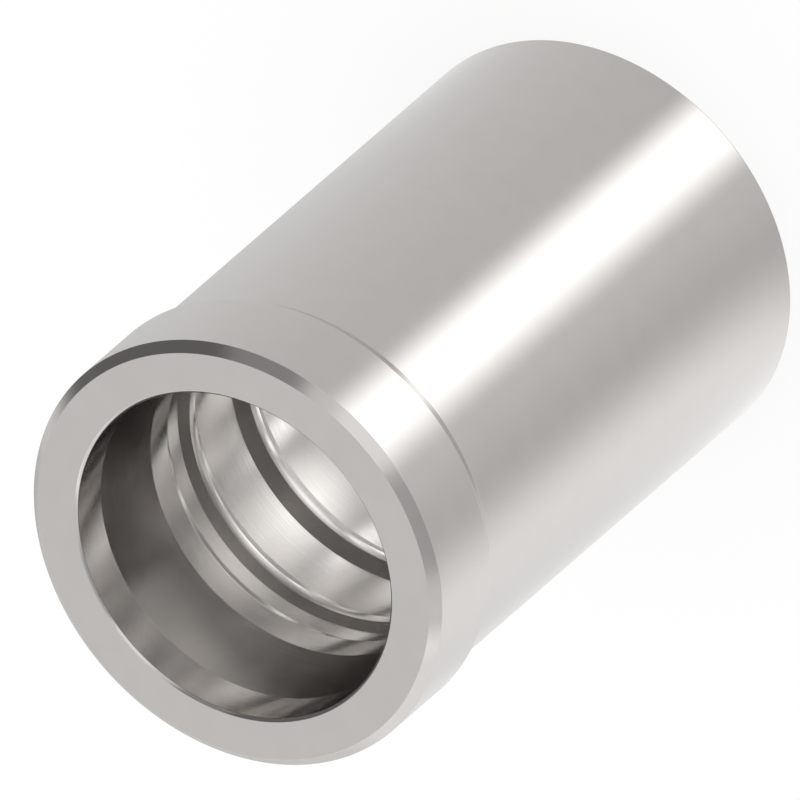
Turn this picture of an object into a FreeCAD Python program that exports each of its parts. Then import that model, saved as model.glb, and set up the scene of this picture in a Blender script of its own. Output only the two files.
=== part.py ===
import FreeCAD, Part
import math
import os
import Sketcher

# Ferrule for crimping a hydraulic hose onto its insert, turned from bar as one piece.
# It stands on its hose end: the origin is the centre of that face, +Z runs up the bore
# axis, and the collar that locks on the insert is at the top.

doc = FreeCAD.newDocument("crimp_hose_ferrule")
sheet = doc.addObject("Spreadsheet::Sheet", "sizes")

# Driving sizes: lengths and diameters in millimetres, angles in degrees from the axis.
driving_sizes = {
    "overall_length": 72.0,
    "body_wall": 3.25,           # metal between the grip grooves and the outside
    "collar_step": 1.0,          # how far the collar stands out from the body
    "collar_length": 10.3,       # collar face to the start of the shoulder
    "shoulder_angle": 30.0,
    "rim_chamfer": 1.0,
    "insert_bore": 36.0,         # lip and land that close on the insert
    "bore_break": 0.3,
    "lip_length": 4.9,
    "seat_depth": 3.0,           # recess behind the lip
    "seat_length": 9.85,
    "seat_angle": 22.0,          # conical side of the recess, towards the hose
    "land_length": 3.35,
    "relief_depth": 0.95,        # narrow groove between the land and the first tooth
    "relief_floor": 2.1,
    "tooth_clearance": 0.25,     # how far the tooth crests stand back from the insert bore
    "tooth_width": 1.25,
    "tooth_pitch": 11.15,
    "groove_depth": 1.0,         # grooves between the teeth, which grip the hose cover
    "back_angle": 30.0,          # side of a groove that faces the hose end
    "front_angle": 35.0,         # side of a groove that faces the collar
    "mouth_length": 8.0,         # shortest plain stretch at the hose end
    "mouth_chamfer": 0.6,
}

# Sizes that follow. Depths are measured down the bore from the collar face.
derived_sizes = {
    "bore_radius": "=insert_bore / 2",
    "seat_floor_radius": "=bore_radius + seat_depth",
    "relief_radius": "=bore_radius + relief_depth",
    "tooth_radius": "=bore_radius + tooth_clearance",
    "groove_radius": "=tooth_radius + groove_depth",
    "body_radius": "=groove_radius + body_wall",
    "collar_radius": "=body_radius + collar_step",
    "shoulder_length": "=collar_step / tan(shoulder_angle)",
    "seat_side": "=seat_depth / tan(seat_angle)",
    "seat_end": "=lip_length + seat_length",
    "land_end": "=seat_end + land_length",
    "relief_back": "=relief_depth / tan(back_angle)",
    "relief_front": "=(relief_depth - tooth_clearance) / tan(front_angle)",
    "first_tooth": "=land_end + relief_back + relief_floor + relief_front",
    "groove_back": "=groove_depth / tan(back_angle)",
    "groove_front": "=groove_depth / tan(front_angle)",
    "toothed_length": "=overall_length - mouth_length - groove_back - tooth_width - first_tooth",
    "groove_count": "=floor(toothed_length / tooth_pitch)",
    "mouth_start": "=first_tooth + groove_count * tooth_pitch + tooth_width",
}

row = 0
for table in (driving_sizes, derived_sizes):
    for alias, content in table.items():
        row += 1
        sheet.set("A%d" % row, alias.replace("_", " "))
        sheet.set("B%d" % row, str(content))
        sheet.setAlias("B%d" % row, alias)
doc.recompute()

body = doc.addObject("PartDesign::Body", "ferrule")
body.Label = "ferrule"


def origin_feature(role):
    """The body's own plane or axis with this role."""
    return next(item for item in body.Origin.OriginFeatures if item.Role == role)


def height_at(depth):
    """Height above the hose end of a depth below the collar face."""
    return "sizes.overall_length - (%s)" % depth


def new_sketch(name):
    """An empty sketch on the plane through the axis: x is the radius, y the height."""
    sketch = body.newObject("Sketcher::SketchObject", name)
    sketch.AttachmentSupport = [(origin_feature("XZ_Plane"), "")]
    sketch.MapMode = "FlatFace"
    return sketch


def drive(sketch, constraint, expression):
    """Adds a dimension to the sketch and ties it to the sheet."""
    index = sketch.addConstraint(constraint)
    sketch.setExpression("Constraints[%d]" % index, expression)


def place_point(sketch, edge, end, radius, height):
    """Ties one end of an edge to a radius and a height. A radius of None is on the axis,
    a height of None is on the hose end."""
    point = sketch.getPoint(edge, end)
    if radius is None:
        sketch.addConstraint(Sketcher.Constraint("PointOnObject", edge, end, -2))
    else:
        drive(sketch, Sketcher.Constraint("DistanceX", -1, 1, edge, end, point.x), radius)
    if height is None:
        sketch.addConstraint(Sketcher.Constraint("PointOnObject", edge, end, -1))
    else:
        drive(sketch, Sketcher.Constraint("DistanceY", -1, 1, edge, end, point.y), height)


def draw_outline(name, corners):
    """Closed outline of straight edges through corners of (radius, height) expressions."""
    sketch = new_sketch(name)
    points = []
    for radius, height in corners:
        x = 0.0 if radius is None else float(sketch.evalExpression(radius))
        y = 0.0 if height is None else float(sketch.evalExpression(height))
        points.append(FreeCAD.Vector(x, y, 0))
    count = len(corners)
    for i in range(count):
        sketch.addGeometry(Part.LineSegment(points[i], points[(i + 1) % count]))
    for i in range(count):
        sketch.addConstraint(Sketcher.Constraint("Coincident", i, 2, (i + 1) % count, 1))
    for i, (radius, height) in enumerate(corners):
        place_point(sketch, i, 1, radius, height)
    return sketch


def turn(kind, name, sketch):
    """Turns a sketch all the way round the bore axis, as new metal or as a cut."""
    feature = body.newObject("PartDesign::" + kind, name)
    feature.Profile = sketch
    feature.ReferenceAxis = (sketch, ["V_Axis"])
    feature.Angle = 360
    doc.recompute()
    return feature


def round_edge(shape, radius, height):
    """Name of the circular edge of this radius at this height."""
    for number, edge in enumerate(shape.Edges, start=1):
        if isinstance(edge.Curve, Part.Circle):
            same_radius = math.isclose(edge.Curve.Radius, radius, abs_tol=1e-4)
            same_height = math.isclose(edge.Curve.Center.z, height, abs_tol=1e-4)
            if same_radius and same_height:
                return "Edge%d" % number
    raise ValueError("no round edge of radius %.3f at height %.3f" % (radius, height))


def chamfer_edge(name, radius, height, size):
    """45 degree chamfer on one round edge of the body."""
    base = body.Tip
    feature = body.newObject("PartDesign::Chamfer", name)
    edge = round_edge(base.Shape, sheet.get(radius), height)
    feature.Base = (base, [edge])
    feature.setExpression("Size", "sizes." + size)
    doc.recompute()
    return feature


# Outside: the plain body for the crimping dies, a conical shoulder and the collar.
blank_outline = draw_outline("blank_outline", [
    (None, None),
    ("sizes.body_radius", None),
    ("sizes.body_radius", height_at("sizes.collar_length + sizes.shoulder_length")),
    ("sizes.collar_radius", height_at("sizes.collar_length")),
    ("sizes.collar_radius", height_at("0")),
    (None, height_at("0")),
])
blank = turn("Revolution", "blank", blank_outline)
chamfer_edge("collar_rim", "collar_radius", sheet.get("overall_length"), "rim_chamfer")

# Bore: the insert's diameter down to the first tooth, the teeth's diameter below it.
insert_outline = draw_outline("insert_outline", [
    (None, None),
    ("sizes.bore_radius", None),
    ("sizes.bore_radius", height_at("0")),
    (None, height_at("0")),
])
insert_cut = turn("Groove", "insert_cut", insert_outline)
chamfer_edge("lip_break", "bore_radius", sheet.get("overall_length"), "bore_break")

hose_outline = draw_outline("hose_outline", [
    (None, None),
    ("sizes.tooth_radius", None),
    ("sizes.tooth_radius", height_at("sizes.first_tooth")),
    (None, height_at("sizes.first_tooth")),
])
hose_cut = turn("Groove", "hose_cut", hose_outline)

# Recess behind the lip: square under the lip, a short floor, then a cone down to the land.
seat_outline = draw_outline("seat_outline", [
    (None, height_at("sizes.lip_length")),
    ("sizes.seat_floor_radius", height_at("sizes.lip_length")),
    ("sizes.seat_floor_radius", height_at("sizes.seat_end - sizes.seat_side")),
    ("sizes.bore_radius", height_at("sizes.seat_end")),
    (None, height_at("sizes.seat_end")),
])
seat_cut = turn("Groove", "seat_cut", seat_outline)

# Relief groove between the land and the first tooth.
relief_outline = draw_outline("relief_outline", [
    (None, height_at("sizes.land_end")),
    ("sizes.bore_radius", height_at("sizes.land_end")),
    ("sizes.relief_radius", height_at("sizes.land_end + sizes.relief_back")),
    ("sizes.relief_radius", height_at("sizes.first_tooth - sizes.relief_front")),
    ("sizes.tooth_radius", height_at("sizes.first_tooth")),
    (None, height_at("sizes.first_tooth")),
])
relief_cut = turn("Groove", "relief_cut", relief_outline)

# Grip grooves, one below each tooth but the last.
tooth_end = "sizes.first_tooth + sizes.tooth_width"
next_tooth = "sizes.first_tooth + sizes.tooth_pitch"
grip_outline = draw_outline("grip_outline", [
    (None, height_at(tooth_end)),
    ("sizes.tooth_radius", height_at(tooth_end)),
    ("sizes.groove_radius", height_at(tooth_end + " + sizes.groove_back")),
    ("sizes.groove_radius", height_at(next_tooth + " - sizes.groove_front")),
    ("sizes.tooth_radius", height_at(next_tooth)),
    (None, height_at(next_tooth)),
])
grip_cut = turn("Groove", "grip_cut", grip_outline)
grip_cuts = body.newObject("PartDesign::LinearPattern", "grip_cuts")
grip_cuts.Originals = [grip_cut]
grip_cuts.Direction = (grip_outline, ["V_Axis"])
grip_cuts.Reversed = True
grip_cuts.Mode = "Spacing"
grip_cuts.setExpression("Offset", "sizes.tooth_pitch")
grip_cuts.setExpression("Occurrences", "sizes.groove_count")
body.Tip = grip_cuts
doc.recompute()

# Hose end: the floor of the grooves runs out through the open mouth.
mouth_outline = draw_outline("mouth_outline", [
    (None, None),
    ("sizes.groove_radius", None),
    ("sizes.groove_radius", height_at("sizes.mouth_start + sizes.groove_back")),
    ("sizes.tooth_radius", height_at("sizes.mouth_start")),
    (None, height_at("sizes.mouth_start")),
])
mouth_cut = turn("Groove", "mouth_cut", mouth_outline)
chamfer_edge("mouth_lead", "groove_radius", 0.0, "mouth_chamfer")

# Nothing is written unless every feature is sound and every cut took metal away.
for item in doc.Objects:
    if "Invalid" in item.State or "Error" in item.State:
        raise ValueError("%s failed: %s" % (item.Name, item.State))
for feature in (insert_cut, hose_cut, seat_cut, relief_cut, grip_cut, grip_cuts, mouth_cut):
    if feature.Shape.Volume >= feature.BaseFeature.Shape.Volume:
        raise ValueError("%s took nothing away" % feature.Name)
if body.Shape.isNull() or not body.Shape.isValid() or len(body.Shape.Solids) != 1:
    raise ValueError("the ferrule is not one sound solid")

os.makedirs("parts", exist_ok=True)
body.Shape.exportStep("parts/%s.step" % body.Label)
box = body.Shape.BoundBox
print("%s: %.3f x %.3f x %.3f mm, %.1f mm3, %d teeth" % (
    body.Label, box.XLength, box.YLength, box.ZLength, body.Shape.Volume,
    sheet.get("groove_count") + 1))
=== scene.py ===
from functools import partial
from math import cos, pi, radians, sin, tan

import bpy
from mathutils import Matrix, Vector


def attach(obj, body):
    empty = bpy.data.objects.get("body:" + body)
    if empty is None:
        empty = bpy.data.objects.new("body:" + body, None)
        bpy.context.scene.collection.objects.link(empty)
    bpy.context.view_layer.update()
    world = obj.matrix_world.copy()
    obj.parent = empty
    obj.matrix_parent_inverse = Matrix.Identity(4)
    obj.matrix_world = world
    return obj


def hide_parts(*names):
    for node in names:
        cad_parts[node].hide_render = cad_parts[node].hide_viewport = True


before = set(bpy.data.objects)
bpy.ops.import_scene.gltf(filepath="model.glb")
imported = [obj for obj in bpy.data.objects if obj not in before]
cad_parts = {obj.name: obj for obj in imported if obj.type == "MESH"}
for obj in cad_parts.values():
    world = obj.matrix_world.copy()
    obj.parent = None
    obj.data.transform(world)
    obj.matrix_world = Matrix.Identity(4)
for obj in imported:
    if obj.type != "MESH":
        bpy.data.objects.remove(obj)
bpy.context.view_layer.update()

mm = 0.001  # the sizes below are in millimetres, unless a note says otherwise


# The turned ferrule, modelled ring by ring as it would be cut on a lathe

ferruleSizes = {
    "length": 72.0,
    "bodyRadius": 22.5,
    "collarRadius": 23.5,
    "collarLength": 10.3,
    "shoulderAngle": 30.0,  # degrees from the axis, as the other sides' angles are
    "rimChamfer": 1.0,
    "boreRadius": 18.0,
    "boreBreak": 0.3,
    "lipLength": 4.9,
    "seatDepth": 3.0,
    "seatLength": 9.85,
    "seatAngle": 22.0,
    "landLength": 3.35,
    "reliefDepth": 0.95,
    "reliefFloor": 2.1,
    "toothClearance": 0.25,
    "toothWidth": 1.25,
    "toothPitch": 11.15,
    "toothCount": 4,
    "grooveDepth": 1.0,
    "backAngle": 30.0,
    "frontAngle": 35.0,
    "mouthChamfer": 0.6,
    "around": 288,  # quads round the axis
    "mergeWithin": 0.002,  # where the last ring meets the first
    "sharpAngle": 12.0,  # corners that turn by more degrees than this are softened
    "edgeSoftness": 0.05,  # the tool leaves every edge this soft
    "softSegments": 2,
    "flatWeight": 100,  # wide faces keep their own shading, the soft edges blend
}


# (radius, height) of each ring, up the outside and down the bore
def ferruleProfile(s):
    top = s["length"]
    boreR = s["boreRadius"]
    toothR = boreR + s["toothClearance"]
    grooveR = toothR + s["grooveDepth"]
    backRun = s["grooveDepth"] / tan(radians(s["backAngle"]))
    frontRun = s["grooveDepth"] / tan(radians(s["frontAngle"]))
    shoulderRun = (s["collarRadius"] - s["bodyRadius"]) / tan(radians(s["shoulderAngle"]))
    collarLow = top - s["collarLength"]

    rings = [
        (s["bodyRadius"], 0.0),
        (s["bodyRadius"], collarLow - shoulderRun),
        (s["collarRadius"], collarLow),
        (s["collarRadius"], top - s["rimChamfer"]),
        (s["collarRadius"] - s["rimChamfer"], top),
        (boreR + s["boreBreak"], top),
        (boreR, top - s["boreBreak"]),
        (boreR, top - s["lipLength"]),
    ]
    # recess: square under the lip, a short floor, then a cone down to the land
    seatR = boreR + s["seatDepth"]
    seatLow = top - s["lipLength"] - s["seatLength"]
    rings += [
        (seatR, top - s["lipLength"]),
        (seatR, seatLow + s["seatDepth"] / tan(radians(s["seatAngle"]))),
        (boreR, seatLow),
    ]
    # land and relief groove
    reliefR = boreR + s["reliefDepth"]
    landLow = seatLow - s["landLength"]
    reliefHigh = landLow - s["reliefDepth"] / tan(radians(s["backAngle"]))
    reliefLow = reliefHigh - s["reliefFloor"]
    rings += [(boreR, landLow), (reliefR, reliefHigh), (reliefR, reliefLow)]
    # teeth, each with the groove below it; the last groove runs out through the mouth
    firstCrest = reliefLow - (reliefR - toothR) / tan(radians(s["frontAngle"]))
    for tooth in range(s["toothCount"]):
        crest = firstCrest - tooth * s["toothPitch"]
        low = crest - s["toothWidth"]
        rings += [(toothR, crest), (toothR, low), (grooveR, low - backRun)]
        if tooth < s["toothCount"] - 1:
            rings.append((grooveR, crest - s["toothPitch"] + frontRun))
    rings += [(grooveR, s["mouthChamfer"]), (grooveR + s["mouthChamfer"], 0.0)]
    return rings


def turnFerrule(s):
    rings = [(r * mm, h * mm) for r, h in ferruleProfile(s)]
    r, h = rings[0]
    bpy.ops.object.select_all(action="DESELECT")
    bpy.ops.mesh.primitive_circle_add(
        vertices=s["around"], radius=r, fill_type="NOTHING", location=(0, 0, h))
    piece = bpy.context.object
    piece.name = "turnedFerrule"
    bpy.ops.object.mode_set(mode="EDIT")
    bpy.ops.mesh.select_all(action="SELECT")
    for nextR, nextH in rings[1:] + rings[:1]:
        bpy.ops.mesh.extrude_edges_move(TRANSFORM_OT_translate={"value": (0, 0, nextH - h)})
        grow = nextR / r
        bpy.ops.transform.resize(value=(grow, grow, 1), center_override=(0, 0, nextH))
        r, h = nextR, nextH
    bpy.ops.mesh.select_all(action="SELECT")
    bpy.ops.mesh.remove_doubles(threshold=s["mergeWithin"] * mm)
    bpy.ops.mesh.normals_make_consistent(inside=False)
    # soften every corner of the profile a little
    bpy.ops.mesh.select_all(action="DESELECT")
    bpy.ops.mesh.select_mode(type="EDGE")
    bpy.ops.mesh.edges_select_sharp(sharpness=radians(s["sharpAngle"]))
    bpy.ops.mesh.bevel(
        offset=s["edgeSoftness"] * mm, segments=s["softSegments"], affect="EDGES")
    bpy.ops.mesh.select_all(action="DESELECT")
    bpy.ops.object.mode_set(mode="OBJECT")
    bpy.ops.object.transform_apply(location=True, rotation=True, scale=True)
    bpy.ops.object.shade_smooth()
    weighted = piece.modifiers.new("flatFaces", "WEIGHTED_NORMAL")
    weighted.weight = s["flatWeight"]
    bpy.ops.object.modifier_apply(modifier=weighted.name)
    return piece


# Helpers for the nodes of a material or of the world

# where a point is on its own object
def objectPlace(tree):
    return tree.nodes.new("ShaderNodeTexCoord").outputs["Object"]


# the x, y and z of a place
def splitPlace(tree, place):
    parts = tree.nodes.new("ShaderNodeSeparateXYZ")
    tree.links.new(place, parts.inputs[0])
    return parts.outputs


# a and b are numbers or sockets; a root, sine or the like takes only a
def mathNode(tree, operation, a, b=0):
    node = tree.nodes.new("ShaderNodeMath")
    node.operation = operation
    for socket, value in zip(node.inputs, (a, b)):
        if isinstance(value, (int, float)):
            socket.default_value = value
        else:
            tree.links.new(value, socket)
    return node.outputs[0]


# rises softly from 0 to full while the value goes from start to end
def softRise(tree, value, start, end, full=1):
    rise = tree.nodes.new("ShaderNodeMapRange")
    rise.interpolation_type = "SMOOTHSTEP"
    rise.inputs["From Min"].default_value = start
    rise.inputs["From Max"].default_value = end
    rise.inputs["To Max"].default_value = full
    tree.links.new(value, rise.inputs["Value"])
    return rise.outputs[0]


# the output shows the first shader where share is 0 and the second where it is 1
def mixShaders(tree, share, first, second, output):
    mix = tree.nodes.new("ShaderNodeMixShader")
    tree.links.new(share, mix.inputs[0])
    tree.links.new(first.outputs[0], mix.inputs[1])
    tree.links.new(second.outputs[0], mix.inputs[2])
    tree.links.new(mix.outputs[0], tree.nodes[output].inputs["Surface"])


# Bright plated steel, with the fine rings that the tool leaves round the axis

steelFinish = {
    "colour": (0.50, 0.482, 0.467),
    "colourChange": 0.03,
    "roughness": 0.17,
    "roughnessChange": 0.08,  # at the far ends of the noises, which they seldom reach
    "anisotropy": 0.55,
    "anisotropyTurn": 0.25,  # a quarter turn: rough across the rings
    "slant": 0.62,  # share of the radius in the pattern's course, so faces get rings too
    "ringsPerMm": 3.2,
    "ringGrain": 0.7,  # how much of the finer rings shows
    "ringHeight": 0.002,
    "cloudsPerMm": 0.35,  # faint cloudiness of the plating
    "cloudHeight": 0.002,
    "scratchesPerMm": 9.0,
    "scratchesAround": 2.25,  # the higher, the shorter each scratch
    "scratchHeight": 0.002,
    "grainDetail": 3,
}


def platedSteel(f):
    mat = bpy.data.materials.new("platedSteel")
    mat.use_nodes = True
    tree = mat.node_tree
    nodes, links = tree.nodes, tree.links
    calc = partial(mathNode, tree)
    bsdf = nodes["Principled BSDF"]
    bsdf.inputs["Metallic"].default_value = 1
    bsdf.inputs["Anisotropic"].default_value = f["anisotropy"]
    bsdf.inputs["Anisotropic Rotation"].default_value = f["anisotropyTurn"]

    place = objectPlace(tree)
    x, y, z = splitPlace(tree, place)
    radius = calc("SQRT", calc("ADD", calc("MULTIPLY", x, x), calc("MULTIPLY", y, y)))
    # where the tool is on its way over the profile, in mm
    course = calc("MULTIPLY", calc("ADD", z, calc("MULTIPLY", radius, f["slant"])), 1 / mm)

    rings = nodes.new("ShaderNodeTexNoise")
    rings.noise_dimensions = "1D"
    rings.inputs["Scale"].default_value = f["ringsPerMm"]
    rings.inputs["Detail"].default_value = f["grainDetail"]
    rings.inputs["Roughness"].default_value = f["ringGrain"]
    links.new(course, rings.inputs["W"])

    cloud = nodes.new("ShaderNodeTexNoise")
    cloud.inputs["Scale"].default_value = f["cloudsPerMm"] / mm
    cloud.inputs["Detail"].default_value = f["grainDetail"]
    links.new(place, cloud.inputs["Vector"])

    # short scratches along the rings: noise drawn out round the axis
    angle = calc("ARCTAN2", y, x)
    drawn = nodes.new("ShaderNodeCombineXYZ")
    links.new(calc("MULTIPLY", course, f["scratchesPerMm"]), drawn.inputs[0])
    links.new(calc("MULTIPLY", calc("COSINE", angle), f["scratchesAround"]), drawn.inputs[1])
    links.new(calc("MULTIPLY", calc("SINE", angle), f["scratchesAround"]), drawn.inputs[2])
    scratches = nodes.new("ShaderNodeTexNoise")
    scratches.inputs["Scale"].default_value = 1
    scratches.inputs["Detail"].default_value = f["grainDetail"]
    links.new(drawn.outputs[0], scratches.inputs["Vector"])

    height = calc("ADD", calc("MULTIPLY", rings.outputs[0], f["ringHeight"] * mm),
                  calc("MULTIPLY", cloud.outputs[0], f["cloudHeight"] * mm))
    height = calc("ADD", height, calc("MULTIPLY", scratches.outputs[0], f["scratchHeight"] * mm))
    bump = nodes.new("ShaderNodeBump")
    bump.inputs["Strength"].default_value = 1
    bump.inputs["Distance"].default_value = 1
    links.new(height, bump.inputs["Height"])
    links.new(bump.outputs[0], bsdf.inputs["Normal"])

    # both noises run from 0 to 1, so their sum less 1 runs from -1 to 1
    spread = calc("SUBTRACT", calc("ADD", scratches.outputs[0], cloud.outputs[0]), 1)
    rougher = calc("MULTIPLY", spread, f["roughnessChange"])
    links.new(calc("ADD", f["roughness"], rougher), bsdf.inputs["Roughness"])

    tint = nodes.new("ShaderNodeMix")
    tint.data_type = "RGBA"
    for socket, share in (("A", 1 - f["colourChange"]), ("B", 1 + f["colourChange"])):
        tint.inputs[socket].default_value = (*[c * share for c in f["colour"]], 1)
    links.new(cloud.outputs[0], tint.inputs["Factor"])
    links.new(tint.outputs["Result"], bsdf.inputs["Base Color"])

    tangent = nodes.new("ShaderNodeTangent")
    tangent.direction_type = "RADIAL"
    tangent.axis = "Z"
    links.new(tangent.outputs["Tangent"], bsdf.inputs["Tangent"])
    return mat


ferrule = turnFerrule(ferruleSizes)
ferrule.data.materials.append(platedSteel(steelFinish))
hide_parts("ferrule")
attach(ferrule, "root")
print("ferrule turned:", len(ferrule.data.polygons), "faces")


# White studio: pale floor and world, seen plain white by the camera and in the metal

stageLook = {
    "floorSize": 6.0,  # metres
    "floorWhite": 0.95,
    "floorRoughness": 0.9,
    "plainShare": 0.8,  # of the floor's look; the rest takes the ferrule's soft shadow
    "lightLevel": 1.15,
}


# 1 for rays that see the plain white background, else 0
def backgroundRays(tree):
    path = tree.nodes.new("ShaderNodeLightPath")
    seen = path.outputs["Is Camera Ray"]
    for ray in ("Is Glossy Ray", "Is Transmission Ray"):
        seen = mathNode(tree, "MAXIMUM", seen, path.outputs[ray])
    return seen


def layFloor(look):
    bpy.ops.object.select_all(action="DESELECT")
    bpy.ops.mesh.primitive_plane_add(size=look["floorSize"], location=(0, 0, 0))
    floor = bpy.context.object
    floor.name = "floor"
    mat = bpy.data.materials.new("paleFloor")
    mat.use_nodes = True
    tree = mat.node_tree
    bsdf = tree.nodes["Principled BSDF"]
    bsdf.inputs["Base Color"].default_value = (*[look["floorWhite"]] * 3, 1)
    bsdf.inputs["Roughness"].default_value = look["floorRoughness"]
    bsdf.inputs["Specular IOR Level"].default_value = 0
    white = tree.nodes.new("ShaderNodeEmission")
    share = mathNode(tree, "MULTIPLY", backgroundRays(tree), look["plainShare"])
    mixShaders(tree, share, bsdf, white, "Material Output")
    floor.data.materials.append(mat)


def paleWorld(look):
    world = bpy.data.worlds.new("studio")
    bpy.context.scene.world = world
    world.use_nodes = True
    tree = world.node_tree
    plain = tree.nodes["Background"]
    plain.inputs["Strength"].default_value = look["lightLevel"]
    white = tree.nodes.new("ShaderNodeBackground")
    for light in (plain, white):
        light.inputs["Color"].default_value = (1, 1, 1, 1)
    mixShaders(tree, backgroundRays(tree), plain, white, "World Output")


layFloor(stageLook)
paleWorld(stageLook)
print("floor and world laid")


# Cards that only the metal sees

def plainGlow(name, strength=1):
    mat = bpy.data.materials.new(name)
    mat.use_nodes = True
    tree = mat.node_tree
    tree.nodes.remove(tree.nodes["Principled BSDF"])
    glow = tree.nodes.new("ShaderNodeEmission")
    glow.inputs["Strength"].default_value = strength
    tree.links.new(glow.outputs[0], tree.nodes["Material Output"].inputs["Surface"])
    return mat, glow


def onlyForMetal(card):
    card.visible_camera = False
    card.visible_diffuse = False
    card.visible_shadow = False


discSides = 48


# glowing disc just above the floor; what grades it is added afterwards
def layDisc(name, radius, lift):
    bpy.ops.object.select_all(action="DESELECT")
    bpy.ops.mesh.primitive_circle_add(
        vertices=discSides, radius=radius * mm, fill_type="NGON", location=(0, 0, lift * mm))
    disc = bpy.context.object
    disc.name = name
    mat, glow = plainGlow(name)
    disc.data.materials.append(mat)
    onlyForMetal(disc)
    return mat.node_tree, glow


# Graded light round the foot, which the outside mirrors: a bright strip in front, a long soft
# light towards -X and a dimmer gap between them. A cylinder mirrors its surroundings much as if
# they turned about a line half its radius in front of the axis, and so does the grading.

footLight = {
    "radius": 250.0,
    "lift": 0.1,
    "pivot": ferruleSizes["bodyRadius"] / 2,
    # degrees from -Y towards +X, brightness
    "stops": [
        (-180, 0.7), (-140, 1.03), (-92, 1.31), (-56, 0.8), (-25, 0.94), (1, 2.5),
        (7.5, 2.5), (31, 0.86), (108, 0.95), (162, 0.7), (180, 0.7),
    ],
}


def gradeLight(f):
    tree, glow = layDisc("footLight", f["radius"], f["lift"])
    x, y, _ = splitPlace(tree, objectPlace(tree))
    angle = mathNode(tree, "ARCTAN2", x, mathNode(tree, "SUBTRACT", -f["pivot"] * mm, y))
    turned = tree.nodes.new("ShaderNodeMapRange")
    turned.inputs["From Min"].default_value = -pi
    turned.inputs["From Max"].default_value = pi
    tree.links.new(angle, turned.inputs["Value"])
    ramp = tree.nodes.new("ShaderNodeValToRGB")
    ramp.color_ramp.interpolation = "EASE"
    tree.links.new(turned.outputs[0], ramp.inputs[0])
    # the ramp holds shares of the brightest stop
    brightest = max(bright for _, bright in f["stops"])
    stops = ramp.color_ramp.elements
    for degrees, bright in f["stops"]:
        if degrees == -180:
            stop = stops[0]
        elif degrees == 180:
            stop = stops[-1]
        else:
            stop = stops.new((degrees + 180) / 360)
        stop.color = (*[bright / brightest] * 3, 1)
    strength = mathNode(tree, "MULTIPLY", ramp.outputs["Color"], brightest)
    tree.links.new(strength, glow.inputs["Strength"])


gradeLight(footLight)


# Light under the bore, which its walls mirror on their way down: soft spots on a dim disc

boreLight = {
    "radius": 19.0,
    "lift": 0.2,
    "dimmest": 0.7,
    # middle of each spot in x and y, its half width in x and y, brightness added
    "spots": [
        (2, -13, 18, 8, 2.4),
        (0, 13, 8, 9, 2.2),
        (-14, 6, 4, 7, 3.0),
        (14, 6, 4, 8, 2.8),
        (-12.6, -5, 4.5, 5, 3.2),
        (15, -5, 4.5, 5, 3.4),
    ],
}


def lightBore(b):
    tree, glow = layDisc("boreLight", b["radius"], b["lift"])
    place = objectPlace(tree)
    total = b["dimmest"]
    for x, y, wide, deep, bright in b["spots"]:
        spot = tree.nodes.new("ShaderNodeMapping")
        spot.vector_type = "TEXTURE"
        spot.inputs["Location"].default_value = (x * mm, y * mm, 0)
        spot.inputs["Scale"].default_value = (wide * mm, deep * mm, 1)
        tree.links.new(place, spot.inputs["Vector"])
        away = tree.nodes.new("ShaderNodeVectorMath")
        away.operation = "LENGTH"
        tree.links.new(spot.outputs[0], away.inputs[0])
        rise = softRise(tree, away.outputs["Value"], 1, 0, bright)
        total = mathNode(tree, "ADD", total, rise)
    tree.links.new(total, glow.inputs["Strength"])


lightBore(boreLight)


# Upright cards round the ferrule: azimuths from +X towards +Y and rises, in degrees as seen from
# the middle of its foot, and the distance from the axis in metres

wallCards = [
    {"name": "darkCard", "azimuth": (-36, 59), "rise": (3, 62), "away": 0.30, "glow": 0.2},
    {"name": "duskCard", "azimuth": (-59, -13), "rise": (3, 62), "away": 0.29, "glow": 0.4},
    {"name": "backLamp", "azimuth": (66, 187), "rise": (35, 46), "away": 0.33, "glow": 1.7},
    {"name": "sideLamp", "azimuth": (123, 207), "rise": (0, 28), "away": 0.34, "glow": 1.35},
    {"name": "dimCard", "azimuth": (198, 259), "rise": (15, 50), "away": 0.32, "glow": 0.6},
    {"name": "frontLamp", "azimuth": (250, 294), "rise": (28, 55), "away": 0.32, "glow": 1.4},
]
softSide = 0.26  # share of a card's width over which each upright edge fades out


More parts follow.
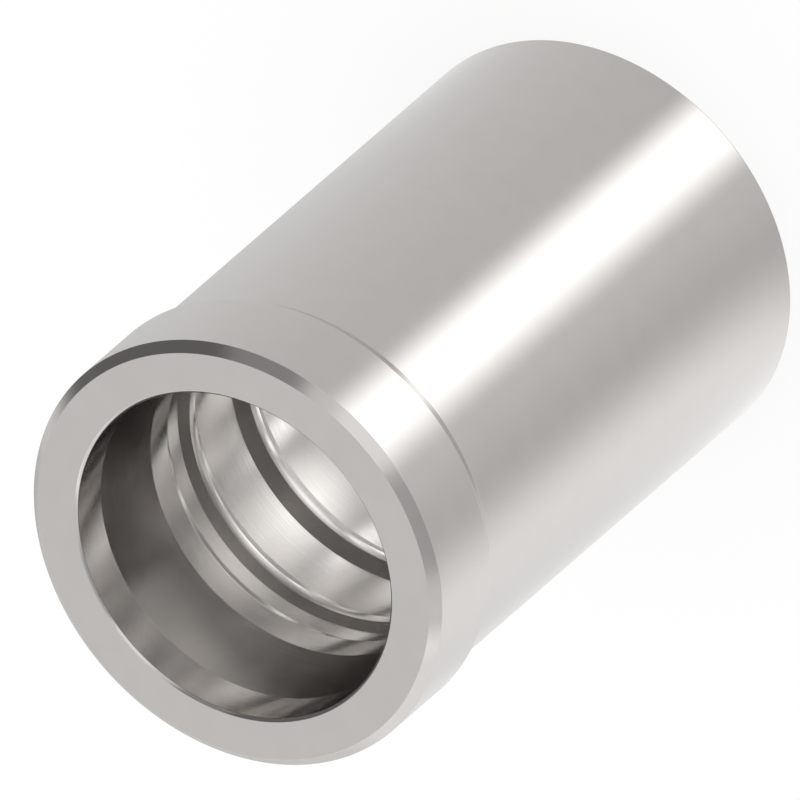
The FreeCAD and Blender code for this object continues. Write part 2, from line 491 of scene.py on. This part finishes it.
# lets the card fade out towards its upright edges
def softenSides(tree, glow):
    x, _, _ = splitPlace(tree, objectPlace(tree))
    edge = 0.5  # a card is 1 wide before it is scaled
    share = softRise(tree, mathNode(tree, "ABSOLUTE", x), edge, edge - softSide)
    clear = tree.nodes.new("ShaderNodeBsdfTransparent")
    mixShaders(tree, share, clear, glow, "Material Output")


def hangCard(c):
    first, last = (radians(a) for a in c["azimuth"])
    low, high = (c["away"] * tan(radians(a)) for a in c["rise"])
    middle = (first + last) / 2
    bpy.ops.object.select_all(action="DESELECT")
    bpy.ops.mesh.primitive_plane_add(
        size=1, rotation=(pi / 2, 0, middle - pi / 2),
        location=(c["away"] * cos(middle), c["away"] * sin(middle), (low + high) / 2))
    card = bpy.context.object
    card.name = c["name"]
    card.scale = (2 * c["away"] * tan((last - first) / 2), high - low, 1)
    mat, glow = plainGlow(c["name"], c["glow"])
    softenSides(mat.node_tree, glow)
    card.data.materials.append(mat)
    onlyForMetal(card)


for wallCard in wallCards:
    hangCard(wallCard)
print("lights and cards placed")


# Camera: parallel view, turned so that the collar points down and to the left

cameraView = {
    "rise": 48.59,  # degrees above the floor
    "roll": -130.89,  # degrees
    "pixelsPerMm": 10.044,
    "imageSize": 800,
    "faceCentrePx": (233.0, 556.7),  # middle of the collar face in the image
    "distance": 600.0,
}


def placeCamera(c, faceHeight):
    data = bpy.data.cameras.new("camera")
    data.type = "ORTHO"
    data.ortho_scale = c["imageSize"] / c["pixelsPerMm"] * mm
    camera = bpy.data.objects.new("camera", data)
    bpy.context.collection.objects.link(camera)
    tilt = Matrix.Rotation(radians(90 - c["rise"]), 3, "X")
    turn = tilt @ Matrix.Rotation(radians(c["roll"]), 3, "Z")
    right, up, back = turn.col
    column, row = c["faceCentrePx"]
    offRight = (column - c["imageSize"] / 2) / c["pixelsPerMm"]
    offUp = (c["imageSize"] / 2 - row) / c["pixelsPerMm"]
    faceCentre = Vector((0, 0, faceHeight))
    camera.location = (faceCentre - offRight * right - offUp * up + c["distance"] * back) * mm
    camera.rotation_euler = turn.to_euler()
    bpy.context.scene.camera = camera


placeCamera(cameraView, ferruleSizes["length"])
print("camera placed")

bpy.context.scene.view_settings.view_transform = "Standard"
